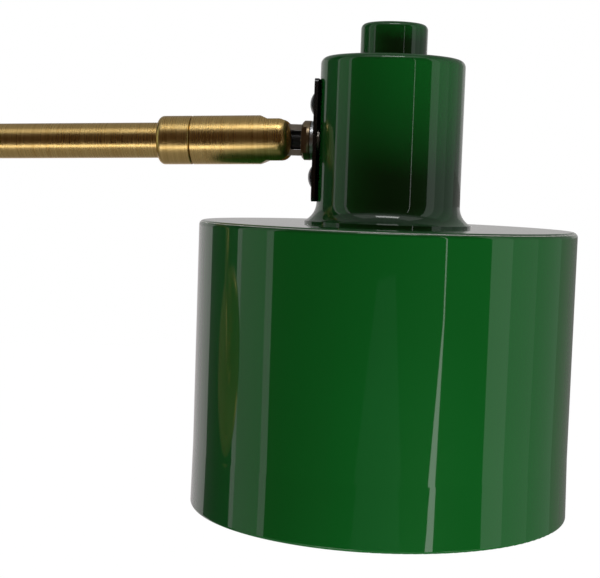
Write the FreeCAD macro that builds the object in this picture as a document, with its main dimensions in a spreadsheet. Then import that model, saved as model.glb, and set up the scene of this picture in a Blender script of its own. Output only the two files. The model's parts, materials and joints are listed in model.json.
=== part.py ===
import FreeCAD, Part

import math
import os
import re

import Sketcher

# A wall sconce with a swan-neck brass arm, a swivel knuckle and a two-tier metal shade.
# The origin is the centre of the mounting bar's back, on the wall. +X points out of the wall
# along the arm, and +Z points up. Lengths are in millimetres and angles in degrees.

SIZES = {
    # mounting bar on the wall
    "bar_inset": 7,
    "bar_width": 22,
    "bar_thick": 2,
    "bar_corner": 4,
    "wall_slot_pitch": 60,
    "wall_slot_width": 4.5,
    "wall_slot_length": 9,
    "stud_pitch": 80,
    "stud_dia": 4,
    "stud_reach": 5,
    "cap_nut_dia": 10,
    "cap_nut_height": 8,
    "earth_height": 15,
    "earth_head_dia": 8,
    "earth_head_height": 2.6,
    # terminal block
    "block_width": 22,
    "block_height": 13.5,
    "block_depth": 11,
    "clamp_screw_dia": 3.4,
    "clamp_screw_length": 5,
    "clamp_screw_sunk": 1,
    "clamp_screw_pitch": 6.5,
    # canopy and the boss that carries the arm
    "canopy_dia": 110,
    "canopy_depth": 25,
    "canopy_wall": 1.2,
    "canopy_round": 8,
    "boss_dia": 30,
    "boss_height": 9,
    "boss_round": 4,
    "boss_thread_dia": 12,
    "boss_thread_length": 7.5,
    "boss_nut_flats": 18,
    "boss_nut_thick": 3.5,
    "toothed_dia": 19,
    "toothed_thick": 0.8,
    # arm
    "tube_dia": 14.3,
    "tube_wall": 1.2,
    "tube_seat": 6,
    "bend_start": 45,
    "rise_radius": 50,
    "crest_radius": 60,
    "pin_reach": 294,
    # cable
    "cable_dia": 5.4,
    "cable_way": 8.4,
    "cable_proud": 0.5,
    "knuckle_cable_short": 1,
    "core_dia": 1.8,
    "core_lead": 2,
    "core_gap": 0.15,
    "core_bend": 7,
    "core_spread": 35,
    # knuckle
    "knuckle_dia": 19.6,
    "collar_length": 13.5,
    "collar_edge": 0.35,
    "ring_room": 0.5,
    "web_thick": 3,
    "seam_back": 36.2,
    "seam_gap": 0.3,
    "swivel_dia": 10,
    "swivel_bore": 6,
    "thrust_gap": 0.2,
    "spring_thick": 0.8,
    "ring_nut_thick": 3,
    "ring_nut_dia": 13,
    "ring_slot": 1.6,
    "screw_slot": 1,
    "stop_dia": 1.6,
    "stop_radius": 7.5,
    "stop_reach": 1.3,
    "stop_lug_angle": 12,
    "nose_back": 0.35,
    "nose_length": 6.3,
    "nose_round": 5,
    "slot_width": 10.5,
    "slot_root": 7.2,
    "slot_floor_half": 6.2,
    "slot_lip_back": 5.1,
    "slot_lip_drop": 1.57,
    "slot_shoulder_back": 8.3,
    "pivot_dia": 5,
    "pivot_end_dia": 3.2,
    "pivot_head_dia": 6.8,
    "pivot_head_depth": 1.5,
    "pivot_recess": 1.8,
    "friction_thick": 0.75,
    "friction_dia": 9.6,
    # tongue and its nut
    "tongue_height": 12.3,
    "tongue_reach": 8.9,
    "window_start": 4.2,
    "window_length": 4.4,
    "window_height": 7.8,
    "sleeve_gap": 0.15,
    "hollow_stud_dia": 10,
    "hollow_stud_bore": 6.2,
    "stud_root": 1,
    "tongue_nut_dia": 15.8,
    "tongue_nut_thick": 3.6,
    "nut_chamfer": 0.8,
    "nut_flats": 12,
    "nut_flat_run": 2.2,
    "strap_washer_dia": 15.6,
    "strap_washer_thick": 1.4,
    # straps outside and inside the neck
    "strap_height": 48.6,
    "strap_width": 18,
    "strap_thick": 1.5,
    "strap_corner": 2,
    "strap_screw_pitch": 29,
    "strap_screw_dia": 4,
    "strap_head_dia": 10.6,
    "strap_head_height": 2.45,
    "strap_socket": 3,
    "inner_strap_height": 44,
    "inner_strap_width": 16,
    "inner_nut_thick": 3.2,
    "inner_nut_flats": 7,
    "stud_nut_flats": 14,
    "stud_nut_thick": 3.2,
    "thread_end": 0.8,
    # shade and neck
    "head_lean": 1.95,
    "shade_dia": 150,
    "shade_height": 113.4,
    "shade_drop": 32.8,
    "shade_wall": 1,
    "shade_round": 2,
    "flare_height": 24,
    "flare_width": 0.45,
    "rim_thick": 2,
    "rim_height": 2.4,
    "nut_room": 8.6,
    "neck_rise": 33,
    "neck_wall": 1,
    "neck_round": 2.8,
    "foot_flare": 4.6,
    "foot_radius": 8.2,
    "foot_thick": 0.9,
    "cap_dia": 26.4,
    "cap_height": 13.65,
    "cap_round": 2.2,
    # lamp holder, from the nipple down
    "nipple_dia": 10,
    "nipple_bore": 7,
    "nipple_grip": 9,
    "nipple_nut_flats": 14,
    "nipple_nut_thick": 3,
    "holder_dia": 38,
    "holder_wall": 2,
    "holder_flange_dia": 44,
    "holder_flange_thick": 2,
    "holder_rise": 13,
    "holder_cap_height": 14,
    "holder_round": 4,
    "core_inset": 8,
    "core_drop": 4,
    "skirt_gap": 0.7,
    "shade_hole_gap": 0.5,
    "ring_width": 6,
    "ring_height": 6,
    "shell_wall": 0.6,
    "shell_length": 22,
    "contact_dia": 8,
    "contact_thick": 1.2,
    # bulb
    "bulb_cap_dia": 26.4,
    "bulb_cap_length": 22,
    "bulb_tip_dia": 9,
    "bulb_tip_height": 1,
    "bulb_cone_height": 3,
    "bulb_dia": 60,
    "bulb_length": 108,
    "bulb_neck_dia": 28,
    "bulb_neck_land": 1.3,
    "bulb_wall": 1,
    # clearances
    "slip": 0.05,
    "thread_gap": 0.1,
    # how far a cutting outline runs past the surface it cuts
    "overrun": 1,
}

# Places that follow from the sizes.
PLACES = {
    "bar_length": "canopy_dia - 2 * bar_inset",
    "arm_rise": "rise_radius + crest_radius",
    "boss_face": "canopy_depth + boss_height",
    "tube_start": "boss_face - tube_seat",
    "tube_end": "pin_reach + cavity_back",
    "boss_thread_end": "canopy_depth - boss_thread_length",
    "cable_start": "boss_thread_end - cable_proud",
    "core_turn": "cable_start - core_lead",
    "core_apart": "(core_dia + core_gap) / sin(core_spread)",
    "core_foot": "core_apart / 2 + core_bend",
    "block_top": "-core_foot * cos(core_spread) - core_dia / 2 * sin(core_spread)",
    "pole": "core_foot * sin(core_spread)",
    "collar_back": "(-seam_back - collar_length)",
    "collar_round": "(knuckle_dia - tube_dia) / 2 - collar_edge",
    "web_back": "-seam_back - web_thick",
    "fork_back": "-seam_back + seam_gap",
    "spring_back": "web_back - thrust_gap - spring_thick",
    "ring_nut_back": "spring_back - ring_nut_thick",
    "cavity_back": "ring_nut_back - ring_room",
    "swivel_end": "ring_nut_back - thread_end",
    "arm_cable_end": "pin_reach + swivel_end - thrust_gap",
    "nose_reach": "nose_length - nose_back",
    "nose_drop": "knuckle_dia / 2 - nose_round",
    "nose_square": "nose_length * nose_length + nose_drop * nose_drop - nose_round * nose_round",
    "nose_curve": "nose_square / 2 / (nose_length - nose_round)",
    "nose_share": "nose_curve / (nose_curve - nose_round)",
    "nose_joint": "nose_round * (nose_curve - nose_length) / (nose_curve - nose_round) - nose_back",
    "slot_lip": "knuckle_dia / 2 - slot_lip_drop",
    "pivot_reach": "knuckle_dia / 2 - pivot_recess",
    "pivot_seat": "pivot_reach - pivot_head_depth",
    "pivot_tip": "sqrt(knuckle_dia * knuckle_dia - pivot_end_dia * pivot_end_dia) / 2",
    "tongue_thick": "slot_width - 2 * friction_thick - 4 * slip",
    "window_end": "window_start + window_length",
    "groove_in": "stop_radius - stop_dia / 2 - thrust_gap",
    "groove_out": "stop_radius + stop_dia / 2 + thrust_gap",
    "groove_deep": "stop_reach - seam_gap + thrust_gap",
    "nut_face": "tongue_reach + tongue_nut_thick",
    "strap_face": "nut_face + strap_washer_thick",
    "neck_side": "strap_face + strap_thick",
    "neck_inside": "holder_dia / 2 + nut_room",
    "neck_dia": "2 * (neck_inside + neck_wall)",
    "shade_axis": "neck_side + neck_dia / 2",
    "inner_strap_set": "sqrt(neck_inside * neck_inside - inner_strap_width * inner_strap_width / 4)",
    "inner_strap_face": "shade_axis - inner_strap_set",
    "inner_strap_back": "inner_strap_face + strap_thick",
    "stud_end": "inner_strap_back + stud_nut_thick + thread_end",
    "shade_top": "-shade_drop",
    "shade_under": "shade_top - shade_wall",
    "shade_mouth": "shade_top - shade_height",
    "foot_side": "neck_dia / 2 + foot_flare",
    "foot_axis": "neck_dia / 2 + foot_radius",
    "foot_rise": "sqrt(foot_flare * (2 * foot_radius - foot_flare))",
    "foot_start": "shade_top + foot_thick + foot_rise",
    "foot_hollow": "foot_radius + neck_wall",
    "foot_depth": "foot_thick + foot_rise",
    "foot_inside": "foot_axis - sqrt(foot_hollow * foot_hollow - foot_depth * foot_depth)",
    "neck_ceiling": "neck_rise - neck_wall",
    "cap_top": "neck_rise + cap_height",
    "nipple_top": "neck_rise + nipple_grip",
    "holder_joint": "shade_top + holder_rise",
    "holder_top": "holder_joint + holder_cap_height",
    "holder_web": "holder_joint - holder_wall",
    "contact_under": "holder_web - contact_thick",
    "bulb_insulator_top": "contact_under - bulb_tip_height",
    "bulb_cap_top": "bulb_insulator_top - bulb_cone_height",
    "bulb_cap_end": "bulb_cap_top - bulb_cap_length",
    "skirt_end": "bulb_cap_end + skirt_gap",
    "bulb_end": "contact_under - bulb_length",
    "bulb_centre": "bulb_end + bulb_dia / 2",
    "bulb_taper": "bulb_cap_end - bulb_neck_land - bulb_centre",
    "bulb_shoulder": "2 * atan((bulb_dia - bulb_neck_dia) / 2 / bulb_taper)",
    "core_entry": "holder_dia / 2 - core_inset",
    "head_core_turn": "shade_axis - core_entry - core_bend",
    "shell_bore": "bulb_cap_dia / 2 + thread_gap",
    "holder_bore": "shell_bore + shell_wall + slip",
}

# The least volume that counts as a cut, in cubic millimetres.
LEAST_CUT = 0.001

doc = FreeCAD.newDocument("wall_sconce")
sheet = doc.addObject("Spreadsheet::Sheet", "Sizes")
for row, (word, number) in enumerate(SIZES.items(), 1):
    sheet.set("A%d" % row, word)
    sheet.set("B%d" % row, str(number))
    sheet.setAlias("B%d" % row, word)
doc.recompute()


# Words of a formula become cells of the sheet, and places are written out.
def formula(text):
    def cell(word):
        name = word.group()
        if name in PLACES:
            return "(" + formula(PLACES[name]) + ")"
        return "Sizes." + name if name in SIZES else name

    return re.sub(r"[a-z_]+", cell, str(text))


def value(text):
    result = sheet.evalExpression(formula(text))
    return float(getattr(result, "Value", result))


def new_body(label):
    return doc.addObject("PartDesign::Body", label)


def origin_plane(body, role):
    return next(feature for feature in body.Origin.OriginFeatures if feature.Role == role)


def sketch_on(body, role, start="0"):
    sketch = body.newObject("Sketcher::SketchObject", body.Label + "_sketch")
    sketch.AttachmentSupport = [(origin_plane(body, role), "")]
    sketch.MapMode = "FlatFace"
    sketch.setExpression(".AttachmentOffset.Base.z", formula(start))
    return sketch


def bind(sketch, kind, places, text):
    index = sketch.addConstraint(Sketcher.Constraint(kind, *places, value(text)))
    sketch.setExpression("Constraints[%d]" % index, formula(text))


# A minor arc of the given radius. A positive radius bends to the left on the way to its end.
def arc_between(start, end, radius):
    chord = end - start
    half = chord.Length / 2
    rise = abs(radius) - math.sqrt(max(radius * radius - half * half, 0))
    side = FreeCAD.Vector(chord.y, -chord.x, 0).normalize() * math.copysign(rise, radius)
    return Part.Arc(start, (start + end) / 2 + side, end)


# Corners are (x, y), or (x, y, radius) where an arc leads on to the next corner.
def draw(sketch, corners, closed=True):
    spots = [FreeCAD.Vector(value(corner[0]), value(corner[1]), 0) for corner in corners]
    spans = len(corners) if closed else len(corners) - 1
    ends = []
    for index in range(spans):
        corner = corners[index]
        start, end = spots[index], spots[(index + 1) % len(spots)]
        curved = len(corner) == 3
        shape = arc_between(start, end, value(corner[2])) if curved else Part.LineSegment(start, end)
        edge = sketch.addGeometry(shape, False)
        forward = (sketch.getPoint(edge, 1) - start).Length < (sketch.getPoint(edge, 2) - start).Length
        first, last = (1, 2) if forward else (2, 1)
        ends.append((edge, first, last))
        bind(sketch, "DistanceX", (edge, first), corner[0])
        bind(sketch, "DistanceY", (edge, first), corner[1])
        if curved:
            bind(sketch, "Radius", (edge,), "abs(%s)" % corner[2])
    for index, (edge, first, last) in enumerate(ends):
        if closed or index + 1 < len(ends):
            following, start = ends[(index + 1) % len(ends)][:2]
            sketch.addConstraint(Sketcher.Constraint("Coincident", edge, last, following, start))
    if not closed:
        edge, first, last = ends[-1]
        bind(sketch, "DistanceX", (edge, last), corners[-1][0])
        bind(sketch, "DistanceY", (edge, last), corners[-1][1])


def draw_disc(sketch, across, up, radius):
    centre = FreeCAD.Vector(value(across), value(up), 0)
    edge = sketch.addGeometry(Part.Circle(centre, FreeCAD.Vector(0, 0, 1), value(radius)), False)
    bind(sketch, "DistanceX", (edge, 3), across)
    bind(sketch, "DistanceY", (edge, 3), up)
    bind(sketch, "Radius", (edge,), radius)


def draw_loops(sketch, loops):
    for loop in loops:
        if loop[0] == "disc":
            draw_disc(sketch, *loop[1:])
        else:
            draw(sketch, loop)


def disc(radius, across="0", up="0"):
    return ("disc", across, up, radius)


def rounded_plate(width, height, corner):
    right = "%s / 2" % width
    top = "%s / 2" % height
    return [
        ("-%s + %s" % (right, corner), "-" + top),
        ("%s - %s" % (right, corner), "-" + top, corner),
        (right, "-%s + %s" % (top, corner)),
        (right, "%s - %s" % (top, corner), corner),
        ("%s - %s" % (right, corner), top),
        ("-%s + %s" % (right, corner), top, corner),
        ("-" + right, "%s - %s" % (top, corner)),
        ("-" + right, "-%s + %s" % (top, corner), corner),
    ]


# An upright slot with round ends, its centre at a height.
def upright_slot(width, length, height):
    side = "%s / 2" % width
    end = "(%s - %s) / 2" % (length, width)
    return [
        (side, "%s - %s" % (height, end)),
        (side, "%s + %s" % (height, end), side),
        ("0", "%s + %s + %s" % (height, end, side), side),
        ("-" + side, "%s + %s" % (height, end)),
        ("-" + side, "%s - %s" % (height, end), side),
        ("0", "%s - %s - %s" % (height, end, side), side),
    ]


def hexagon(flats, across="0", up="0"):
    corner = "%s / 2 / cos(30)" % flats
    return [
        ("%s + %s * cos(%d)" % (across, corner, turn), "%s + %s * sin(%d)" % (up, corner, turn))
        for turn in range(0, 360, 60)
    ]


# A box drawn by its lowest and highest corner.
def rectangle(left, low, right, high):
    return [(left, low), (right, low), (right, high), (left, high)]


def is_cut(body, feature, volume):
    doc.recompute()
    body.Tip = feature
    doc.recompute()
    if body.Shape.Volume > volume - LEAST_CUT:
        raise RuntimeError("%s cuts nothing" % feature.Label)


def pad(body, role, loops, length, start="0", symmetric=False):
    sketch = sketch_on(body, role, start)
    draw_loops(sketch, loops)
    feature = body.newObject("PartDesign::Pad", body.Label + "_pad")
    feature.Profile = sketch
    feature.setExpression("Length", formula(length))
    feature.SideType = "Symmetric" if symmetric else "One side"
    return feature


def pocket(body, role, loops, length, start="0", symmetric=False):
    doc.recompute()
    volume = body.Shape.Volume
    sketch = sketch_on(body, role, start)
    draw_loops(sketch, loops)
    feature = body.newObject("PartDesign::Pocket", body.Label + "_pocket")
    feature.Profile = sketch
    feature.setExpression("Length", formula(length))
    feature.SideType = "Symmetric" if symmetric else "One side"
    feature.Reversed = not symmetric
    is_cut(body, feature, volume)
    return feature


# A turned form. Its corners are (along the axis, radius) for an axis along X,
# and (radius, height) for an upright axis.
def turn(body, corners, axis="H_Axis", height="0"):
    sketch = sketch_on(body, "XZ_Plane")
    sketch.setExpression(".AttachmentOffset.Base.y", formula(height))
    draw(sketch, corners)
    feature = body.newObject("PartDesign::Revolution", body.Label + "_turn")
    feature.Profile = sketch
    feature.ReferenceAxis = (sketch, [axis])
    feature.Angle = 360
    return feature


def groove(body, corners, axis="H_Axis", angle="360"):
    doc.recompute()
    volume = body.Shape.Volume
    sketch = sketch_on(body, "XZ_Plane")
    draw(sketch, corners)
    feature = body.newObject("PartDesign::Groove", body.Label + "_groove")
    feature.Profile = sketch
    feature.ReferenceAxis = (sketch, [axis])
    feature.Midplane = True
    feature.setExpression("Angle", formula(angle))
    is_cut(body, feature, volume)
    return feature


def mirror(body, originals, role):
    feature = body.newObject("PartDesign::Mirrored", body.Label + "_mirror")
    feature.Originals = originals
    feature.MirrorPlane = (origin_plane(body, role), [""])
    body.Tip = feature
    return feature


# A tube, rod or wire along a path of tangent runs and arcs in an upright plane.
def sweep(body, discs, path, start, tilt="0"):
    section = sketch_on(body, "YZ_Plane", start)
    draw_loops(section, discs)
    route = sketch_on(body, "XZ_Plane")
    route.AttachmentOffset = FreeCAD.Placement(FreeCAD.Vector(), FreeCAD.Rotation(FreeCAD.Vector(1, 0, 0), 1))
    route.setExpression(".AttachmentOffset.Rotation.Angle", formula(tilt))
    draw(route, path, closed=False)
    feature = body.newObject("PartDesign::AdditivePipe", body.Label + "_sweep")
    feature.Profile = section
    feature.Spine = (route, ["Edge%d" % (index + 1) for index in range(len(path) - 1)])
    return feature


# Where a piece's own origin lies: at the pivot, with or without the lean of the head.
def at_pivot(body):
    body.setExpression(".Placement.Base.x", formula("pin_reach"))
    body.setExpression(".Placement.Base.z", formula("arm_rise"))


def on_head(body, out="0"):
    body.Placement.Rotation = FreeCAD.Rotation(FreeCAD.Vector(0, 1, 0), 1)
    body.setExpression(".Placement.Rotation.Angle", formula("head_lean"))
    body.setExpression(".Placement.Base.x", formula("pin_reach + (%s) * cos(head_lean)" % out))
    body.setExpression(".Placement.Base.z", formula("arm_rise - (%s) * sin(head_lean)" % out))


def on_shade_axis(body):
    on_head(body, "shade_axis")


def wall_bar():
    body = new_body("wall_bar")
    loops = [rounded_plate("bar_width", "bar_length", "bar_corner")]
    for side in ("", "-"):
        loops.append(upright_slot("wall_slot_width", "wall_slot_length", side + "wall_slot_pitch / 2"))
        loops.append(disc("stud_dia / 2 + slip", up=side + "stud_pitch / 2"))
    loops.append(disc("stud_dia / 2 + slip", up="earth_height"))
    pad(body, "YZ_Plane", loops, "bar_thick")


def bar_studs():
    body = new_body("bar_studs")
    loops = [disc("stud_dia / 2", up=side + "stud_pitch / 2") for side in ("", "-")]
    pad(body, "YZ_Plane", loops, "canopy_depth + stud_reach")


def earth_screw():
    body = new_body("earth_screw")
    head = "bar_thick + earth_head_height"
    turn(body, [
        ("0", "0"),
        ("0", "stud_dia / 2"),
        ("bar_thick", "stud_dia / 2"),
        ("bar_thick", "earth_head_dia / 2"),
        (head + " - earth_head_height / 2", "earth_head_dia / 2", "-earth_head_height / 2"),
        (head, "earth_head_dia / 2 - earth_head_height / 2"),
        (head, "0"),
    ], height="earth_height")
    low, high = "earth_height - screw_slot / 2", "earth_height + screw_slot / 2"
    slot = rectangle("-earth_head_dia", low, "earth_head_dia", high)
    pocket(body, "YZ_Plane", [slot], "earth_head_height", "bar_thick + earth_head_height / 2")


def clamp_places():
    upper = "block_top - block_height / 2 + clamp_screw_pitch / 2"
    lower = "block_top - block_height / 2 - clamp_screw_pitch / 2"
    return [(side + "pole", height) for side in ("", "-") for height in (upper, lower)]


def terminal_block():
    body = new_body("terminal_block")
    box = rectangle("-block_width / 2", "block_top - block_height", "block_width / 2", "block_top")
    pad(body, "YZ_Plane", [box], "block_depth", "bar_thick")
    wells = [disc("clamp_screw_dia / 2 + thread_gap", *place) for place in clamp_places()]
    pocket(body, "YZ_Plane", wells, "clamp_screw_length + overrun",
           "bar_thick + block_depth - clamp_screw_length")


def terminal_screws():
    body = new_body("terminal_screws")
    back = "bar_thick + block_depth - clamp_screw_length"
    pad(body, "YZ_Plane", [disc("clamp_screw_dia / 2", *place) for place in clamp_places()],
        "clamp_screw_length - clamp_screw_sunk", back)


def canopy():
    body = new_body("canopy")
    rim = "canopy_dia / 2"
    hole = "boss_thread_dia / 2 + thread_gap"
    inner_round = "canopy_round - canopy_wall"
    turn(body, [
        ("0", rim + " - canopy_wall"),
        ("0", rim),
        ("canopy_depth - canopy_round", rim, "-canopy_round"),
        ("canopy_depth", rim + " - canopy_round"),
        ("canopy_depth", hole),
        ("canopy_depth - canopy_wall", hole),
        ("canopy_depth - canopy_wall", rim + " - canopy_round", inner_round),
        ("canopy_depth - canopy_round", rim + " - canopy_wall"),
    ])
    holes = [disc("stud_dia / 2 + thread_gap", up=side + "stud_pitch / 2") for side in ("", "-")]
    pocket(body, "YZ_Plane", holes, "canopy_wall + 2 * overrun", "canopy_depth - canopy_wall - overrun")


def canopy_nuts():
    body = new_body("canopy_nuts")
    top = "canopy_depth + cap_nut_height"
    bore = "stud_dia / 2 + slip"
    nut = turn(body, [
        ("canopy_depth", bore),
        ("canopy_depth", "cap_nut_dia / 2"),
        (top + " - cap_nut_dia / 2", "cap_nut_dia / 2", "-cap_nut_dia / 2"),
        (top, "0"),
        ("canopy_depth + stud_reach + thread_end", "0"),
        ("canopy_depth + stud_reach + thread_end", bore),
    ], height="stud_pitch / 2")
    mirror(body, [nut], "XY_Plane")


def arm_boss():
    body = new_body("arm_boss")
    seat = "tube_dia / 2 + slip"
    turn(body, [
        ("boss_thread_end", "cable_way / 2"),
        ("boss_thread_end", "boss_thread_dia / 2"),
        ("canopy_depth", "boss_thread_dia / 2"),
        ("canopy_depth", "boss_dia / 2"),
        ("boss_face - boss_round", "boss_dia / 2", "-boss_round"),
        ("boss_face", "boss_dia / 2 - boss_round"),
        ("boss_face", seat),
        ("tube_start", seat),
        ("tube_start", "cable_way / 2"),
    ])


def toothed_washer():
    body = new_body("toothed_washer")
    inside = "canopy_depth - canopy_wall - toothed_thick"
    loops = [disc("toothed_dia / 2"), disc("boss_thread_dia / 2 + thread_gap")]
    pad(body, "YZ_Plane", loops, "toothed_thick", inside)


def boss_nut():
    body = new_body("boss_nut")
    back = "canopy_depth - canopy_wall - toothed_thick - boss_nut_thick"
    pad(body, "YZ_Plane", [hexagon("boss_nut_flats"), disc("boss_thread_dia / 2 + thread_gap")],
        "boss_nut_thick", back)


# The swan neck: out of the boss, up through two quarter bends, and level to the knuckle.
def arm_route(start, end):
    return [
        (start, "0"),
        ("bend_start", "0", "rise_radius"),
        ("bend_start + rise_radius", "rise_radius", "-crest_radius"),
        ("bend_start + rise_radius + crest_radius", "arm_rise"),
        (end, "arm_rise"),
    ]


def arm_tube():
    body = new_body("arm_tube")
    discs = [disc("tube_dia / 2"), disc("tube_dia / 2 - tube_wall")]
    sweep(body, discs, arm_route("tube_start", "tube_end"), "tube_start")


def arm_cable():
    body = new_body("arm_cable")
    sweep(body, [disc("cable_dia / 2")], arm_route("cable_start", "arm_cable_end"), "cable_start")


def supply_cores():
    body = new_body("supply_cores")
    route = [
        ("cable_start", "-core_apart / 2"),
        ("core_turn", "-core_apart / 2", "core_bend"),
        ("core_turn - core_bend", "-core_foot"),
    ]
    across = "core_apart / 2 * sin(core_spread)"
    up = "-core_apart / 2 * cos(core_spread)"
    core = sweep(body, [disc("core_dia / 2", across, up)], route, "cable_start", "core_spread")
    mirror(body, [core], "XZ_Plane")


def swivel_collar():
    body = new_body("swivel_collar")
    at_pivot(body)
    seat = "tube_dia / 2 + slip"
    cavity = "ring_nut_dia / 2 + seam_gap"
    turn(body, [
        ("collar_back", seat),
        ("collar_back", "knuckle_dia / 2 - collar_round", "-collar_round"),
        ("collar_back + collar_round", "knuckle_dia / 2"),
        ("-seam_back - seam_gap", "knuckle_dia / 2"),
        ("-seam_back", "knuckle_dia / 2 - seam_gap"),
        ("-seam_back", "swivel_dia / 2 + slip"),
        ("web_back", "swivel_dia / 2 + slip"),
        ("web_back", cavity),
        ("cavity_back", cavity),
        ("cavity_back", seat),
    ])
    groove(body, [
        ("-seam_back - groove_deep", "groove_in"),
        ("-seam_back + overrun", "groove_in"),
        ("-seam_back + overrun", "groove_out"),
        ("-seam_back - groove_deep", "groove_out"),
    ], angle="360 - stop_lug_angle")


def knuckle_fork():
    body = new_body("knuckle_fork")
    at_pivot(body)
    round_side = "knuckle_dia / 2"
    turn(body, [
        ("swivel_end", "swivel_bore / 2"),
        ("swivel_end", "swivel_dia / 2"),
        ("fork_back", "swivel_dia / 2"),
        ("fork_back", round_side + " - seam_gap"),
        ("fork_back + seam_gap", round_side),
        ("-nose_back", round_side, "-nose_round"),
        ("nose_joint", "nose_drop * nose_share", "-nose_curve"),
        ("nose_reach", "0"),
        ("-slot_root / 2", "0"),
        ("-slot_root / 2", "swivel_bore / 2"),
    ])
    clear = "(%s + overrun)" % round_side
    pocket(body, "XZ_Plane", [[
        ("nose_reach + overrun", "-" + clear),
        ("nose_reach + overrun", clear),
        ("-slot_shoulder_back", clear),
        ("-slot_shoulder_back", round_side),
        ("-slot_lip_back", "slot_lip"),
        ("-slot_root", "slot_floor_half"),
        ("-slot_root", "-slot_floor_half"),
        ("-slot_lip_back", "-slot_lip"),
        ("-slot_shoulder_back", "-" + round_side),
        ("-slot_shoulder_back", "-" + clear),
    ]], "slot_width", symmetric=True)
    through = "knuckle_dia + 2 * overrun"
    pocket(body, "XZ_Plane", [disc("pivot_end_dia / 2 + slip")], through, symmetric=True)
    pocket(body, "XZ_Plane", [disc("pivot_dia / 2 + slip")], round_side, "-" + round_side)
    pocket(body, "XZ_Plane", [disc("pivot_head_dia / 2 + thread_gap")], round_side,
           "-%s - pivot_seat" % round_side)
    pocket(body, "YZ_Plane", [disc("stop_dia / 2", up="stop_radius")], "stop_dia + overrun",
           "fork_back - overrun")


def stop_pin():
    body = new_body("stop_pin")
    at_pivot(body)
    pad(body, "YZ_Plane", [disc("stop_dia / 2", up="stop_radius")], "stop_reach + stop_dia",
        "fork_back - stop_reach")


def ring_nut():
    body = new_body("ring_nut")
    at_pivot(body)
    bore = "swivel_dia / 2 + slip"
    turn(body, [
        ("ring_nut_back", bore),
        ("ring_nut_back", "ring_nut_dia / 2"),
        ("spring_back", "ring_nut_dia / 2"),
        ("spring_back", bore),
    ])
    slot = rectangle("-ring_nut_dia", "-ring_slot / 2", "ring_nut_dia", "ring_slot / 2")
    pocket(body, "YZ_Plane", [slot], "ring_slot", "ring_nut_back")


def spring_washer():
    body = new_body("spring_washer")
    at_pivot(body)
    ring = [disc("ring_nut_dia / 2"), disc("swivel_dia / 2 + slip")]
    pad(body, "YZ_Plane", ring, "spring_thick", "spring_back")


def pivot_screw():
    body = new_body("pivot_screw")
    at_pivot(body)
    cheek = "slot_width / 2"
    pad(body, "XZ_Plane", [disc("pivot_dia / 2")], "pivot_seat + " + cheek, "-pivot_seat")
    pad(body, "XZ_Plane", [disc("pivot_end_dia / 2")], "pivot_tip - " + cheek, cheek)
    pad(body, "XZ_Plane", [disc("pivot_head_dia / 2")], "pivot_head_depth", "-pivot_reach")
    slot = rectangle("-pivot_head_dia", "-screw_slot / 2", "pivot_head_dia", "screw_slot / 2")
    pocket(body, "XZ_Plane", [slot], "pivot_head_depth / 2", "-pivot_reach")


def friction_washers():
    body = new_body("friction_washers")
    at_pivot(body)
    ring = [disc("friction_dia / 2"), disc("pivot_dia / 2 + slip")]
    washer = pad(body, "XZ_Plane", ring, "friction_thick", "slot_width / 2 - friction_thick")
    mirror(body, [washer], "XZ_Plane")


def knuckle_cable():
    body = new_body("knuckle_cable")
    at_pivot(body)
    pad(body, "YZ_Plane", [disc("cable_dia / 2")], "-slot_root - swivel_end - knuckle_cable_short",
        "swivel_end")


def tongue():
    body = new_body("tongue")
    on_head(body)
    half = "tongue_height / 2"
    pad(body, "XZ_Plane", [[
        ("0", "-" + half),
        ("tongue_reach", "-" + half),
        ("tongue_reach", half),
        ("0", half, half),
        ("-" + half, "0", half),
    ]], "tongue_thick", symmetric=True)
    stud = turn(body, [
        ("tongue_reach - stud_root", "0"),
        ("tongue_reach - stud_root", "hollow_stud_dia / 2 - stud_root"),
        ("tongue_reach", "hollow_stud_dia / 2"),
        ("stud_end", "hollow_stud_dia / 2"),
        ("stud_end", "0"),
    ])
    body.Tip = stud
    groove(body, [
        ("window_start", "0"),
        ("window_start", "hollow_stud_bore / 2"),
        ("stud_end + overrun", "hollow_stud_bore / 2"),
        ("stud_end + overrun", "0"),
    ])
    through = "tongue_thick + 2 * overrun"
    window = rectangle("window_start", "-window_height / 2", "window_end", "window_height / 2")
    pocket(body, "XZ_Plane", [window], through, symmetric=True)
    pocket(body, "XZ_Plane", [disc("pivot_dia / 2 + slip")], through, symmetric=True)


def head_cable():
    body = new_body("head_cable")
    on_head(body)
    sleeve = "window_height / 2 - sleeve_gap"
    turn(body, [
        ("window_start + sleeve_gap", "0"),
        ("window_start + sleeve_gap", sleeve),
        ("window_end - sleeve_gap", sleeve),
        ("window_end - sleeve_gap", "cable_dia / 2"),
        ("stud_end", "cable_dia / 2"),
        ("stud_end", "0"),
    ])


def head_cores():
    body = new_body("head_cores")
    on_head(body)
    route = [
        ("stud_end", "0"),
        ("head_core_turn", "0", "-core_bend"),
        ("head_core_turn + core_bend", "-core_bend"),
        ("head_core_turn + core_bend", "-core_bend - core_drop"),
    ]
    core = sweep(body, [disc("core_dia / 2", "core_apart / 2")], route, "stud_end")
    mirror(body, [core], "XZ_Plane")


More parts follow.
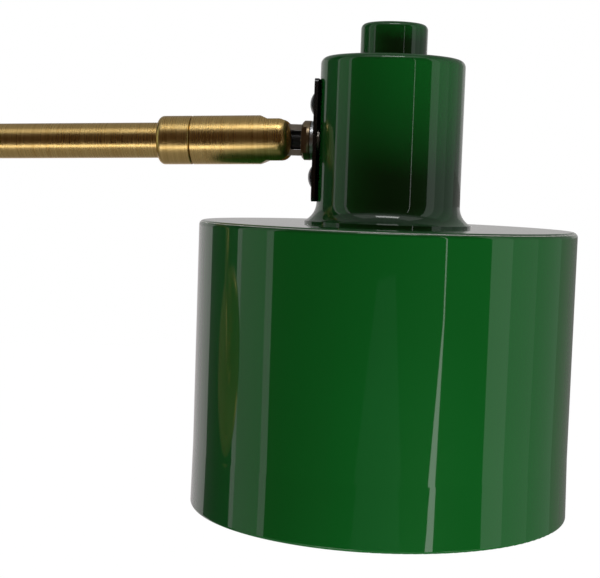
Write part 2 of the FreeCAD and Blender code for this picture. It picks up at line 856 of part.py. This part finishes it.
def tongue_nut():
    body = new_body("tongue_nut")
    on_head(body)
    bore = "hollow_stud_dia / 2 + thread_gap"
    side = "tongue_nut_dia / 2"
    turn(body, [
        ("tongue_reach", bore),
        ("tongue_reach", side + " - nut_chamfer"),
        ("tongue_reach + nut_chamfer", side),
        ("nut_face - nut_chamfer / 2", side),
        ("nut_face", side + " - nut_chamfer / 2"),
        ("nut_face", bore),
    ])
    left, right = "tongue_reach - overrun", "tongue_reach + nut_flat_run"
    flat = rectangle(left, "-tongue_nut_dia", right, "tongue_nut_dia")
    pocket(body, "XZ_Plane", [flat], "tongue_nut_dia / 2", "nut_flats / 2")
    pocket(body, "XZ_Plane", [flat], "tongue_nut_dia / 2", "-nut_flats / 2 - tongue_nut_dia / 2")


def strap_washer():
    body = new_body("strap_washer")
    on_head(body)
    pad(body, "YZ_Plane", [disc("strap_washer_dia / 2"), disc("hollow_stud_dia / 2 + thread_gap")],
        "strap_washer_thick", "nut_face")


def strap_holes():
    screw = "strap_screw_dia / 2 + thread_gap"
    holes = [disc(screw, up=side + "strap_screw_pitch / 2") for side in ("", "-")]
    return holes + [disc("hollow_stud_dia / 2 + thread_gap")]


def neck_strap():
    body = new_body("neck_strap")
    on_head(body)
    plate = rounded_plate("strap_width", "strap_height", "strap_corner")
    pad(body, "YZ_Plane", [plate] + strap_holes(), "strap_thick", "strap_face")


def inner_strap():
    body = new_body("inner_strap")
    on_head(body)
    plate = rounded_plate("inner_strap_width", "inner_strap_height", "strap_corner")
    pad(body, "YZ_Plane", [plate] + strap_holes(), "strap_thick", "inner_strap_face")


def strap_screws():
    body = new_body("strap_screws")
    on_head(body)
    head = "strap_face - strap_head_height"
    dome = "strap_head_dia * strap_head_dia / 8 / strap_head_height + strap_head_height / 2"
    screw = turn(body, [
        (head, "0"),
        ("inner_strap_back + inner_nut_thick + thread_end", "0"),
        ("inner_strap_back + inner_nut_thick + thread_end", "strap_screw_dia / 2"),
        ("strap_face", "strap_screw_dia / 2"),
        ("strap_face", "strap_head_dia / 2", dome),
    ], height="strap_screw_pitch / 2")
    socket = pocket(body, "YZ_Plane", [hexagon("strap_socket", up="strap_screw_pitch / 2")],
                    "strap_head_height + overrun - thread_end", head + " - overrun")
    mirror(body, [screw, socket], "XY_Plane")


def strap_nuts():
    body = new_body("strap_nuts")
    on_head(body)
    loops = []
    for side in ("", "-"):
        height = side + "strap_screw_pitch / 2"
        loops.append(hexagon("inner_nut_flats", up=height))
        loops.append(disc("strap_screw_dia / 2 + slip", up=height))
    pad(body, "YZ_Plane", loops, "inner_nut_thick", "inner_strap_back")


def stud_nut():
    body = new_body("stud_nut")
    on_head(body)
    pad(body, "YZ_Plane", [hexagon("stud_nut_flats"), disc("hollow_stud_dia / 2 + slip")],
        "stud_nut_thick", "inner_strap_back")


def neck_cup():
    body = new_body("neck_cup")
    on_shade_axis(body)
    hole = "nipple_dia / 2 + thread_gap"
    side = "neck_dia / 2"
    turn(body, [
        (hole, "neck_ceiling"),
        (hole, "neck_rise"),
        (side + " - neck_round", "neck_rise", "-neck_round"),
        (side, "neck_rise - neck_round"),
        (side, "foot_start", "foot_radius"),
        ("foot_side", "shade_top + foot_thick"),
        ("foot_side", "shade_top"),
        ("foot_inside", "shade_top", "-foot_hollow"),
        ("neck_inside", "foot_start"),
        ("neck_inside", "neck_rise - neck_round", "neck_round - neck_wall"),
        (side + " - neck_round", "neck_ceiling"),
    ], "V_Axis")
    pocket(body, "YZ_Plane", strap_holes(), "neck_dia / 2", "-neck_dia / 2 - overrun")


def top_cap():
    body = new_body("top_cap")
    on_shade_axis(body)
    side = "cap_dia / 2"
    bore = "nipple_dia / 2 + thread_gap"
    turn(body, [
        (bore, "neck_rise"),
        (side, "neck_rise"),
        (side, "cap_top - cap_round", "cap_round"),
        (side + " - cap_round", "cap_top"),
        ("0", "cap_top"),
        ("0", "nipple_top + thread_end"),
        (bore, "nipple_top + thread_end"),
    ], "V_Axis")


def top_nipple():
    body = new_body("top_nipple")
    on_shade_axis(body)
    turn(body, [
        ("nipple_bore / 2", "holder_top - holder_wall"),
        ("nipple_dia / 2", "holder_top - holder_wall"),
        ("nipple_dia / 2", "nipple_top"),
        ("nipple_bore / 2", "nipple_top"),
    ], "V_Axis")


def nipple_nuts():
    body = new_body("nipple_nuts")
    on_shade_axis(body)
    loops = [hexagon("nipple_nut_flats"), disc("nipple_dia / 2 + slip")]
    pad(body, "XY_Plane", loops, "nipple_nut_thick", "neck_ceiling - nipple_nut_thick")
    lower = pad(body, "XY_Plane", loops, "nipple_nut_thick", "holder_top")
    body.Tip = lower


def holder_cap():
    body = new_body("holder_cap")
    on_shade_axis(body)
    side = "holder_dia / 2"
    bore = "nipple_dia / 2 + slip"
    inner = side + " - holder_wall"
    ceiling = "holder_top - holder_wall"
    turn(body, [
        (side, "holder_joint"),
        (side, "holder_top - holder_round", "holder_round"),
        (side + " - holder_round", "holder_top"),
        (bore, "holder_top"),
        (bore, ceiling),
        (side + " - holder_round", ceiling, "holder_wall - holder_round"),
        (inner, "holder_top - holder_round"),
        (inner, "holder_joint"),
    ], "V_Axis")
    entry = "core_dia / 2 + thread_gap"
    entries = [disc(entry, "-core_entry", side + "core_apart / 2") for side in ("", "-")]
    pocket(body, "XY_Plane", entries, "holder_wall + 2 * overrun", ceiling + " - overrun")


def holder_body():
    body = new_body("holder_body")
    on_shade_axis(body)
    side = "holder_dia / 2"
    turn(body, [
        ("0", "holder_web"),
        ("holder_bore", "holder_web"),
        ("holder_bore", "skirt_end"),
        (side, "skirt_end"),
        (side, "shade_top"),
        ("holder_flange_dia / 2", "shade_top"),
        ("holder_flange_dia / 2", "shade_top + holder_flange_thick"),
        (side, "shade_top + holder_flange_thick"),
        (side, "holder_joint"),
        ("0", "holder_joint"),
    ], "V_Axis")


def screw_shell():
    body = new_body("screw_shell")
    on_shade_axis(body)
    outer = "shell_bore + shell_wall"
    turn(body, [
        ("shell_bore", "holder_web - shell_length"),
        (outer, "holder_web - shell_length"),
        (outer, "holder_web"),
        ("shell_bore", "holder_web"),
    ], "V_Axis")


def centre_contact():
    body = new_body("centre_contact")
    on_shade_axis(body)
    pad(body, "XY_Plane", [disc("contact_dia / 2")], "contact_thick", "contact_under")


def shade_ring():
    body = new_body("shade_ring")
    on_shade_axis(body)
    bore = "holder_dia / 2 + thread_gap"
    side = bore + " + ring_width"
    turn(body, [
        (bore, "shade_under - ring_height"),
        (side + " - nut_chamfer", "shade_under - ring_height"),
        (side, "shade_under - ring_height + nut_chamfer"),
        (side, "shade_under"),
        (bore, "shade_under"),
    ], "V_Axis")


def shade():
    body = new_body("shade")
    on_shade_axis(body)
    hole = "holder_dia / 2 + shade_hole_gap"
    side = "shade_dia / 2"
    mouth = side + " + flare_width"
    flare = "shade_mouth + flare_height"
    lip = "rim_thick / 2"
    turn(body, [
        (hole, "shade_under"),
        (hole, "shade_top"),
        (side + " - shade_round", "shade_top", "-shade_round"),
        (side, "shade_top - shade_round"),
        (side, flare),
        (mouth, "shade_mouth + " + lip, "-" + lip),
        (mouth + " - " + lip, "shade_mouth", "-" + lip),
        (mouth + " - rim_thick", "shade_mouth + " + lip),
        (mouth + " - rim_thick", "shade_mouth + rim_height"),
        (mouth + " - shade_wall", "shade_mouth + rim_height"),
        (side + " - shade_wall", flare),
        (side + " - shade_wall", "shade_top - shade_round", "shade_round - shade_wall"),
        (side + " - shade_round", "shade_under"),
    ], "V_Axis")


# The outline of the bulb, drawn in from its outside by the thickness of the glass.
def bulb_outline(inset):
    radius = "(bulb_dia / 2 - %s)" % inset
    neck = "(bulb_neck_dia / 2 - %s)" % inset
    across = "bulb_dia / 2 * cos(bulb_shoulder) - bulb_neck_dia / 2"
    neck_height = "bulb_centre + bulb_dia / 2 * sin(bulb_shoulder) + (%s) / tan(bulb_shoulder / 2)" % across
    hollow = "((%s) / 2 / sin(bulb_shoulder / 2) / sin(bulb_shoulder / 2) + %s)" % (across, inset)
    return [
        ("0", "bulb_centre - " + radius, radius),
        (radius, "bulb_centre", radius),
        (radius + " * cos(bulb_shoulder)", "bulb_centre + %s * sin(bulb_shoulder)" % radius, "-" + hollow),
        (neck, neck_height),
        (neck, "bulb_cap_end"),
        ("0", "bulb_cap_end"),
    ]


def bulb_globe():
    body = new_body("bulb_globe")
    on_shade_axis(body)
    globe = turn(body, bulb_outline("0"), "V_Axis")
    body.Tip = globe
    groove(body, bulb_outline("bulb_wall"), "V_Axis")


def bulb_cap():
    body = new_body("bulb_cap")
    on_shade_axis(body)
    turn(body, [
        ("0", "bulb_cap_end"),
        ("bulb_cap_dia / 2", "bulb_cap_end"),
        ("bulb_cap_dia / 2", "bulb_cap_top - nut_chamfer"),
        ("bulb_cap_dia / 2 - nut_chamfer", "bulb_cap_top"),
        ("0", "bulb_cap_top"),
    ], "V_Axis")


def bulb_insulator():
    body = new_body("bulb_insulator")
    on_shade_axis(body)
    turn(body, [
        ("0", "bulb_cap_top"),
        ("bulb_cap_dia / 2 - 2 * nut_chamfer", "bulb_cap_top"),
        ("bulb_tip_dia / 2", "bulb_insulator_top"),
        ("0", "bulb_insulator_top"),
    ], "V_Axis")


def bulb_tip():
    body = new_body("bulb_tip")
    on_shade_axis(body)
    pad(body, "XY_Plane", [disc("bulb_tip_dia / 2 - slip")], "bulb_tip_height", "bulb_insulator_top")


PIECES = [
    wall_bar, bar_studs, earth_screw, terminal_block, terminal_screws,
    canopy, canopy_nuts, arm_boss, toothed_washer, boss_nut, arm_tube, arm_cable, supply_cores,
    swivel_collar, knuckle_fork, stop_pin, ring_nut, spring_washer, pivot_screw, friction_washers,
    knuckle_cable, tongue, head_cable, head_cores, tongue_nut, strap_washer, neck_strap, inner_strap,
    strap_screws, strap_nuts, stud_nut, neck_cup, top_cap, top_nipple, nipple_nuts,
    holder_cap, holder_body, screw_shell, centre_contact, shade_ring, shade,
    bulb_globe, bulb_cap, bulb_insulator, bulb_tip,
]

for piece in PIECES:
    piece()
doc.recompute()

for item in doc.Objects:
    if "Invalid" in item.State or "Error" in item.State:
        raise RuntimeError("%s failed: %s" % (item.Label, item.State))

os.makedirs("parts", exist_ok=True)
for piece in PIECES:
    body = doc.getObject(piece.__name__)
    if body.Shape.isNull() or not body.Shape.isValid():
        raise RuntimeError("%s has no valid shape" % body.Label)
    body.Shape.exportStep("parts/%s.step" % body.Label)
    box = body.Shape.BoundBox
    print("%-18s solids %d  volume %9.1f  x %.2f..%.2f  y %.2f..%.2f  z %.2f..%.2f" % (
        body.Label, len(body.Shape.Solids), body.Shape.Volume,
        box.XMin, box.XMax, box.YMin, box.YMax, box.ZMin, box.ZMax))
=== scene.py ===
import json
import math

import bmesh
import bpy
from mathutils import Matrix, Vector

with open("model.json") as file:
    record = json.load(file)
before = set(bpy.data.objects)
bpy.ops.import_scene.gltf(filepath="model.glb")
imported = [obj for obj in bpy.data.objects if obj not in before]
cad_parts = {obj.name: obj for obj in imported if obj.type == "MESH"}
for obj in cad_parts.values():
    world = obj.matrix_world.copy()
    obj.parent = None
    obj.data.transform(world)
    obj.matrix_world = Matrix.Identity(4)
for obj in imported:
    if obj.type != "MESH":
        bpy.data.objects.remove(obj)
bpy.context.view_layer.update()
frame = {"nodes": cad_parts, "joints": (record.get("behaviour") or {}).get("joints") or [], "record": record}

nodes = frame["nodes"]
mm = 0.001
pivot = Vector(frame["joints"][0]["pos_m"])
print("frame loaded:", len(nodes), "nodes")


# A direction by degrees round, where 0 is -Y and 90 is +X, and degrees up.
def direction(around, up):
    turn, rise = math.radians(around), math.radians(up)
    return Vector((math.sin(turn) * math.cos(rise), -math.cos(turn) * math.cos(rise), math.sin(rise)))


# The camera, fitted to the photograph. It aims below the pivot of the knuckle.
view = {
    "azimuth": 7.33,
    "elevation": 4.17,
    "distance": 549.19,              # mm
    "aim": (7.71, 0.0, -60.2),       # from the pivot, mm
    "lens": 81.37,
    "sensor": 36.0,
    "near": 0.01,                    # m
    "far": 50,                       # m
}


def makeCamera():
    camera = bpy.data.objects.new("camera", bpy.data.cameras.new("camera"))
    bpy.context.scene.collection.objects.link(camera)
    back = direction(view["azimuth"], view["elevation"])
    camera.location = pivot + Vector(view["aim"]) * mm + back * view["distance"] * mm
    camera.rotation_mode = "QUATERNION"
    camera.rotation_quaternion = (-back).to_track_quat("-Z", "Y")
    camera.data.lens = view["lens"]
    camera.data.sensor_width = view["sensor"]
    camera.data.clip_start = view["near"]
    camera.data.clip_end = view["far"]
    bpy.context.scene.camera = camera
    print("camera made")


# Shader maths: a socket that can be added, subtracted and multiplied.
class Signal:
    def __init__(self, paint, socket):
        self.paint = paint
        self.socket = socket

    def mixed(self, operation, first, second):
        return self.paint.node("ShaderNodeMath", {"operation": operation}, {0: first, 1: second})

    def __add__(self, other):
        return self.mixed("ADD", self, other)

    def __radd__(self, other):
        return self.mixed("ADD", other, self)

    def __sub__(self, other):
        return self.mixed("SUBTRACT", self, other)

    def __rsub__(self, other):
        return self.mixed("SUBTRACT", other, self)

    def __mul__(self, other):
        return self.mixed("MULTIPLY", self, other)

    def __rmul__(self, other):
        return self.mixed("MULTIPLY", other, self)


# The stretch of a noise's values over which a finish changes.
spans = {
    "cloud": (0.35, 0.65),
    "streak": (0.28, 0.72),
    "wear": (0.3, 0.7),
}


# A node tree. node() makes one node: its settings come first, then its sockets.
class Paint:
    def __init__(self, tree):
        self.tree = tree

    def node(self, kind, settings=None, sockets=None, output=0):
        made = self.tree.nodes.new(kind)
        for name, setting in (settings or {}).items():
            setattr(made, name, setting)
        for name, given in (sockets or {}).items():
            if isinstance(given, Signal):
                self.tree.links.new(given.socket, made.inputs[name])
            else:
                made.inputs[name].default_value = given
        return Signal(self, made.outputs[output]) if made.outputs else None

    # Object coordinates, squeezed along an axis by a scale under 1.
    def place(self, scale=(1, 1, 1)):
        where = self.node("ShaderNodeTexCoord", output="Object")
        return self.node("ShaderNodeMapping", {}, {"Vector": where, "Scale": scale})

    def noise(self, where, scale, detail=2.0, roughness=0.5):
        return self.node("ShaderNodeTexNoise", {}, {
            "Vector": where, "Scale": scale, "Detail": detail, "Roughness": roughness})

    def vector(self, operation, first, second=(0, 0, 0), output=0):
        return self.node("ShaderNodeVectorMath", {"operation": operation}, {0: first, 1: second}, output)

    # From one colour to another by a mask. The mix node's colours are its sockets 6 and 7.
    def blend(self, mask, first, second):
        first, second = [(*given, 1) if isinstance(given, tuple) else given for given in (first, second)]
        return self.node("ShaderNodeMix", {"data_type": "RGBA"}, {0: mask, 6: first, 7: second}, output=2)

    # Two shades of one colour, in soft clouds.
    def clouds(self, where, scale, detail, colour, other):
        return self.blend(self.ramp(self.noise(where, scale, detail), spans["cloud"]), colour, other)

    def bump(self, height, strength, distance):
        return self.node("ShaderNodeBump", {}, {"Height": height, "Strength": strength, "Distance": distance})

    # From low to high as the value crosses a span.
    def ramp(self, value, span, low=0, high=1):
        return self.node("ShaderNodeMapRange", {"clamp": True}, {
            "Value": value, "From Min": span[0], "From Max": span[1], "To Min": low, "To Max": high})


def newMaterial(name):
    material = bpy.data.materials.new(name)
    material.use_nodes = True
    material.node_tree.nodes.clear()
    return material, Paint(material.node_tree)


def finishMaterial(paint, sockets):
    surface = paint.node("ShaderNodeBsdfPrincipled", {}, sockets)
    paint.node("ShaderNodeOutputMaterial", {}, {"Surface": surface})


# Gloss lacquer: a dim green under a clear coat with a faint orange peel.
lacquer = {
    "colour": (0.0003, 0.071, 0.0075),
    "deep": (0.0002, 0.064, 0.0062),
    "cloudScale": 9.0,
    "roughness": 0.4,
    "specular": 0.1,
    "coatRoughness": 0.03,
    "coatIndex": 1.5,
    "peelScale": 420.0,
    "peelStrength": 0.3,
    "peelHeight": 0.000004,          # m
    "white": (0.70, 0.69, 0.65),
    "whiteCoatLoss": 0.6,
}

# The shade's shell, which is white on its inner side: its axis, and the middle of its wall and top.
shell = {
    "lean": 1.95,
    "axis": 44.0,                    # from the pivot, mm
    "wallMiddle": 74.5,
    "topMiddle": -33.3,
    "edge": 0.05,                    # half the width of the change, mm
}


def lacquerSockets(paint, where):
    peel = paint.noise(where, lacquer["peelScale"])
    return {
        "Base Color": paint.clouds(where, lacquer["cloudScale"], 3, lacquer["colour"], lacquer["deep"]),
        "Roughness": lacquer["roughness"],
        "Specular IOR Level": lacquer["specular"],
        "Coat Weight": 1.0,
        "Coat Roughness": lacquer["coatRoughness"],
        "Coat IOR": lacquer["coatIndex"],
        "Normal": paint.bump(peel, lacquer["peelStrength"], lacquer["peelHeight"]),
    }


def makeLacquer():
    material, paint = newMaterial("greenLacquer")
    finishMaterial(paint, lacquerSockets(paint, paint.place()))
    return material


# 1 where a length in metres is under a limit in mm, and 0 above it.
def below(paint, length, limit):
    return paint.ramp(length, ((limit - shell["edge"]) * mm, (limit + shell["edge"]) * mm), 1, 0)


# The same lacquer outside, and satin white enamel inside, by the distance from the shade's axis.
def makeShadeLacquer():
    material, paint = newMaterial("shadeLacquer")
    where = paint.place()
    sockets = lacquerSockets(paint, where)
    lean = math.radians(shell["lean"])
    sideways = Vector((math.cos(lean), 0, -math.sin(lean)))
    upward = Vector((math.sin(lean), 0, math.cos(lean)))
    offset = paint.vector("SUBTRACT", where, tuple(pivot + sideways * shell["axis"] * mm))
    away = paint.vector("LENGTH", paint.vector("CROSS_PRODUCT", offset, tuple(upward)), output=1)
    height = paint.vector("DOT_PRODUCT", offset, tuple(upward), output=1)
    inside = below(paint, away, shell["wallMiddle"]) * below(paint, height, shell["topMiddle"])
    sockets["Base Color"] = paint.blend(inside, sockets["Base Color"], lacquer["white"])
    sockets["Coat Weight"] = 1 - inside * lacquer["whiteCoatLoss"]
    finishMaterial(paint, sockets)
    return material


# Brush lines that run round the arm, across X, with wider bands and a little tarnish.
brush = {
    "scale": 2600.0,
    "detail": 3,
    "fineness": 0.7,
    "squeeze": (1.0, 0.02, 0.02),
    "strength": 0.35,
    "height": 0.000006,              # m
    "bandScale": 500.0,
    "bandFineness": 0.6,
    "lineShare": 0.6,                # of lines against bands in the colour
    "tarnishScale": 60.0,
    "tarnishDetail": 4,
    "wearShare": 0.5,                # of lines against tarnish in the roughness
    "smoother": 0.05,
    "rougher": 0.08,
}

brasses = {
    "satinBrass": {"colour": (0.56, 0.34, 0.10), "pale": (0.84, 0.61, 0.25), "roughness": 0.27},
    # a darkened brass: painted shade and painted dark reflection for the tongue nut, which sits between
    # tongue and strap
    "paintedShadeBrass": {"colour": (0.22, 0.16, 0.10), "pale": (0.40, 0.31, 0.20), "roughness": 0.3},
}


def makeBrass(name):
    tint = brasses[name]
    material, paint = newMaterial(name)
    where = paint.place(brush["squeeze"])
    lines = paint.noise(where, brush["scale"], brush["detail"], brush["fineness"])
    bands = paint.noise(where, brush["bandScale"], roughness=brush["bandFineness"])
    tarnish = paint.noise(paint.place(), brush["tarnishScale"], brush["tarnishDetail"])
    streaks = lines * brush["lineShare"] + bands * (1 - brush["lineShare"])
    wear = lines * brush["wearShare"] + tarnish * (1 - brush["wearShare"])
    smooth, rough = tint["roughness"] - brush["smoother"], tint["roughness"] + brush["rougher"]
    finishMaterial(paint, {
        "Base Color": paint.blend(paint.ramp(streaks, spans["streak"]), tint["colour"], tint["pale"]),
        "Metallic": 1.0,
        "Roughness": paint.ramp(wear, spans["wear"], smooth, rough),
        "Normal": paint.bump(lines, brush["strength"], brush["height"]),
    })
    return material


# The finishes with a fine even grain, by the record's slots.
grain = {
    "scale": 800.0,
    "cloudSize": 12,                 # clouds against grain
    "strength": 0.3,
    "height": 0.00001,               # m
    "spread": 0.15,                  # of the roughness
    "coatRoughness": 0.05,
}

plainFinishes = {
    "nickel_plate": {"name": "nickelPlate", "colour": (0.76, 0.70, 0.62), "roughness": 0.48,
                     "metallic": 0.85},
    "black_enamel": {"name": "blackEnamel", "colour": (0.012, 0.012, 0.014), "roughness": 0.28, "coat": 0.8},
    "zinc_steel": {"name": "zincSteel", "colour": (0.55, 0.56, 0.58), "roughness": 0.35, "metallic": 1.0},
    "terminal_plastic": {"name": "terminalPlastic", "colour": (0.78, 0.77, 0.72), "roughness": 0.45},
    "washer_plastic": {"name": "washerPlastic", "colour": (0.75, 0.75, 0.72), "roughness": 0.5},
    "cable_sheath": {"name": "cableSheath", "colour": (0.012, 0.012, 0.012), "roughness": 0.5},
    "core_sheath": {"name": "coreSheath", "colour": (0.19, 0.07, 0.03), "roughness": 0.4},
    "holder_plastic": {"name": "holderPlastic", "colour": (0.015, 0.015, 0.015), "roughness": 0.3},
    "plain_brass": {"name": "plainBrass", "colour": (0.68, 0.5, 0.24), "roughness": 0.25, "metallic": 1.0},
    "opal_glass": {"name": "opalGlass", "colour": (0.72, 0.72, 0.69), "roughness": 0.25, "coat": 0.6,
                   "vary": 0.03},
    "bulb_metal": {"name": "bulbMetal", "colour": (0.7, 0.7, 0.7), "roughness": 0.3, "metallic": 1.0},
    "bulb_black": {"name": "bulbBlack", "colour": (0.01, 0.01, 0.015), "roughness": 0.15},
}


def makePlain(name, colour, roughness, metallic=0.0, coat=0.0, vary=0.15):
    material, paint = newMaterial(name)
    where = paint.place()
    fine = paint.noise(where, grain["scale"], 3)
    darker = tuple(part * (1 - vary) for part in colour)
    smooth, rough = roughness * (1 - grain["spread"]), roughness * (1 + grain["spread"])
    finishMaterial(paint, {
        "Base Color": paint.clouds(where, grain["scale"] / grain["cloudSize"], 2, colour, darker),
        "Metallic": metallic,
        "Roughness": paint.ramp(fine, spans["wear"], smooth, rough),
        "Coat Weight": coat,
        "Coat Roughness": grain["coatRoughness"],
        "Normal": paint.bump(fine, grain["strength"], grain["height"]),
    })
    return material


def makeFinishes():
    finishes = {slot: makePlain(**plain) for slot, plain in plainFinishes.items()}
    finishes["green_lacquer"] = makeLacquer()
    finishes["satin_brass"] = makeBrass("satinBrass")
    for part in frame["record"]["subparts"]:
        piece = nodes[part["node"]]
        piece.data.materials.clear()
        piece.data.materials.append(finishes[part["material_slot"]])
    # two pieces differ from their slot
    nodes["shade"].data.materials[0] = makeShadeLacquer()
    # the tongue nut gets a darkened brass, which paints in shade and dark reflection
    nodes["tongue_nut"].data.materials[0] = makeBrass("paintedShadeBrass")
    print("finishes made:", len(finishes), "and two of their own")


studio = {
    "fill": 0.13,                    # strength of the white room for matt light
    "middle": 44.0,                  # of the cards and lamps, from the pivot along X, mm
    "lampDrop": 100.0,               # of the lamps' middle, mm
    "cardRadius": 2.7,               # m
    "cardColumns": 24,
    "cardRows": 12,
}

floor = {
    "height": -2.8,
    "size": 24.0,
    "colour": (0.85, 0.85, 0.85, 1),
    "glow": 1.08,                    # strength of the white that the camera and gloss see
    "glowShare": 0.92,
}

white = (1, 1, 1, 1)

# Cards that only the gloss sees: degrees round from the camera, left negative, and degrees up. The
# first is a grey room, which hides the white one from the gloss. Each other one stands nearer than
# it, in metres. A foot gives the lower edge its own width.
cards = [
    {"name": "greyRoom", "around": (-180, 180), "up": (-90, 90), "strength": 0.25},
    {"name": "frontCloth", "around": (-72, 59), "up": (-25, 42), "strength": 0.04, "nearer": 0.1,
     "colour": (1.0, 0.48, 0.18)},
    {"name": "frontGlow", "around": (-8, 2), "up": (-19, -5), "strength": 0.11, "nearer": 0.2,
     "foot": (-22, 12)},
    {"name": "leftCloth", "around": (-131, -101), "up": (-40, 42), "strength": 0.015, "nearer": 0.1},
    {"name": "rightCloth", "around": (121, 176), "up": (-40, -1), "strength": 0.2, "nearer": 0.1,
     "colour": (1.0, 0.93, 0.94)},
    {"name": "leftBox", "around": (-101, -72), "up": (-30, 42), "strength": 0.52, "nearer": 0.1,
     "colour": (0.7, 1.0, 0.72)},
    {"name": "leftBoxRim", "around": (-101, -97), "up": (-30, 42), "strength": 0.8, "nearer": 0.2},
    {"name": "leftBoxEdge", "around": (-77, -72), "up": (-30, 42), "strength": 0.8, "nearer": 0.2},
    {"name": "rightBoxInner", "around": (59, 74), "up": (-30, 42), "strength": 0.86, "nearer": 0.1,
     "colour": (0.87, 1.0, 0.9)},
    {"name": "rightBox", "around": (74, 95), "up": (-30, 42), "strength": 0.52, "nearer": 0.1,
     "colour": (0.8, 1.0, 0.85)},
    {"name": "rightBoxOuter", "around": (95, 121), "up": (-30, 42), "strength": 0.36, "nearer": 0.1,
     "colour": (0.8, 1.0, 0.85)},
    {"name": "backWall", "around": (176, 229), "up": (-30, -1), "strength": 0.6, "nearer": 0.1,
     "colour": (1.0, 0.95, 0.96)},
    {"name": "backGlow", "around": (140, 229), "up": (-1, 16), "strength": 0.48, "nearer": 0.1,
     "colour": (1.0, 0.97, 0.97)},
    {"name": "topLight", "around": (-75, 75), "up": (50, 70), "strength": 0.75, "nearer": 0.1},
    {"name": "topTube", "around": (-27, 27), "up": (57, 65), "strength": 7.0, "nearer": 0.2},
    {"name": "lowBoard", "around": (-60, 60), "up": (-44, -28), "strength": 0.9, "nearer": 0.1},
    {"name": "lowTube", "around": (-45, 45), "up": (-37, -31), "strength": 3.8, "nearer": 0.2},
    {"name": "stripLight", "around": (30.2, 31.0), "up": (-8, 30), "strength": 2.8, "nearer": 0.3},
    {"name": "stripFoot", "around": (30.2, 31.0), "up": (-19, -8), "strength": 2.8, "nearer": 0.3,
     "foot": (23.0, 28.5)},
]

# Soft lamps, which the gloss doesn't see: degrees round from the camera and up, metres away, watts
# and width.
lamps = [
    {"name": "tableGlow", "around": 22, "up": -42, "away": 1.42, "power": 35, "size": 1.2},
    {"name": "backSoft", "around": 165, "up": 12, "away": 1.5, "power": 28, "size": 1.0},
    {"name": "leftSoft", "around": -105, "up": 5, "away": 1.4, "power": 8, "size": 0.8},
    {"name": "topSoft", "around": 150, "up": 74, "away": 1.5, "power": 12, "size": 0.8},
]


# The rays that see white: the camera's, and those that gloss and glass send on.
def seenRays(paint):
    camera, glossy, through = [paint.node("ShaderNodeLightPath", output=name) for name in
                               ("Is Camera Ray", "Is Glossy Ray", "Is Transmission Ray")]
    return paint.node("ShaderNodeMath", {"operation": "MAXIMUM"}, {0: camera, 1: glossy + through})


def makeWorld():
    world = bpy.data.worlds.new("room")
    bpy.context.scene.world = world
    world.use_nodes = True
    world.node_tree.nodes.clear()
    paint = Paint(world.node_tree)
    strength = seenRays(paint) * (1 - studio["fill"]) + studio["fill"]
    back = paint.node("ShaderNodeBackground", {}, {"Color": white, "Strength": strength})
    paint.node("ShaderNodeOutputWorld", {}, {"Surface": back})


def glow(name, colour, strength):
    material, paint = newMaterial(name)
    light = paint.node("ShaderNodeEmission", {}, {"Color": (*colour, 1), "Strength": strength})
    paint.node("ShaderNodeOutputMaterial", {}, {"Surface": light})
    return material


def finishPiece(name, form, material):
    mesh = bpy.data.meshes.new(name)
    form.to_mesh(mesh)
    form.free()
    mesh.materials.append(material)
    piece = bpy.data.objects.new(name, mesh)
    bpy.context.scene.collection.objects.link(piece)
    return piece


def makeFloor():
    material, paint = newMaterial("paleFloor")
    matt = paint.node("ShaderNodeBsdfDiffuse", {}, {"Color": floor["colour"]})
    bright = paint.node("ShaderNodeEmission", {}, {"Color": white, "Strength": floor["glow"]})
    share = seenRays(paint) * floor["glowShare"]
    mixed = paint.node("ShaderNodeMixShader", {}, {0: share, 1: matt, 2: bright})
    paint.node("ShaderNodeOutputMaterial", {}, {"Surface": mixed})
    form = bmesh.new()
    bmesh.ops.create_grid(form, x_segments=1, y_segments=1, size=floor["size"])
    bmesh.ops.translate(form, verts=form.verts, vec=(0, 0, floor["height"]))
    finishPiece("paleFloor", form, material)


# A card is a grid bent to a patch of a sphere round the shade's axis.
def makeCard(name, around, up, strength, colour=(1, 1, 1), nearer=0.0, foot=None):
    foot = foot or around
    radius = studio["cardRadius"] - nearer
    middle = pivot + Vector((studio["middle"] * mm, 0, 0))
    form = bmesh.new()
    bmesh.ops.create_grid(form, x_segments=studio["cardColumns"], y_segments=studio["cardRows"], size=0.5)
    for vert in form.verts:
        across, along = vert.co.x + 0.5, vert.co.y + 0.5
        low = foot[0] + (foot[1] - foot[0]) * across
        high = around[0] + (around[1] - around[0]) * across
        turn = view["azimuth"] + low + (high - low) * along
        vert.co = middle + direction(turn, up[0] + (up[1] - up[0]) * along) * radius
    bmesh.ops.remove_doubles(form, verts=form.verts, dist=mm)
    card = finishPiece(name, form, glow(name, colour, strength))
    card.visible_camera = False
    card.visible_diffuse = False
    card.visible_shadow = False
    card.visible_transmission = False


def makeLamp(name, around, up, away, power, size):
    data = bpy.data.lights.new(name, "AREA")
    data.shape = "DISK"
    data.size = size
    data.energy = power
    lamp = bpy.data.objects.new(name, data)
    bpy.context.scene.collection.objects.link(lamp)
    out = direction(view["azimuth"] + around, up)
    lamp.location = pivot + Vector((studio["middle"], 0, -studio["lampDrop"])) * mm + out * away
    lamp.rotation_mode = "QUATERNION"
    lamp.rotation_quaternion = (-out).to_track_quat("-Z", "Y")
    lamp.visible_glossy = False
    lamp.visible_camera = False


def makeStudio():
    makeWorld()
    makeFloor()
    for card in cards:
        makeCard(**card)
    for lamp in lamps:
        makeLamp(**lamp)
    print("studio made:", len(cards), "cards,", len(lamps), "lamps")


makeCamera()
makeFinishes()
makeStudio()

bpy.context.scene.view_settings.view_transform = "Standard"
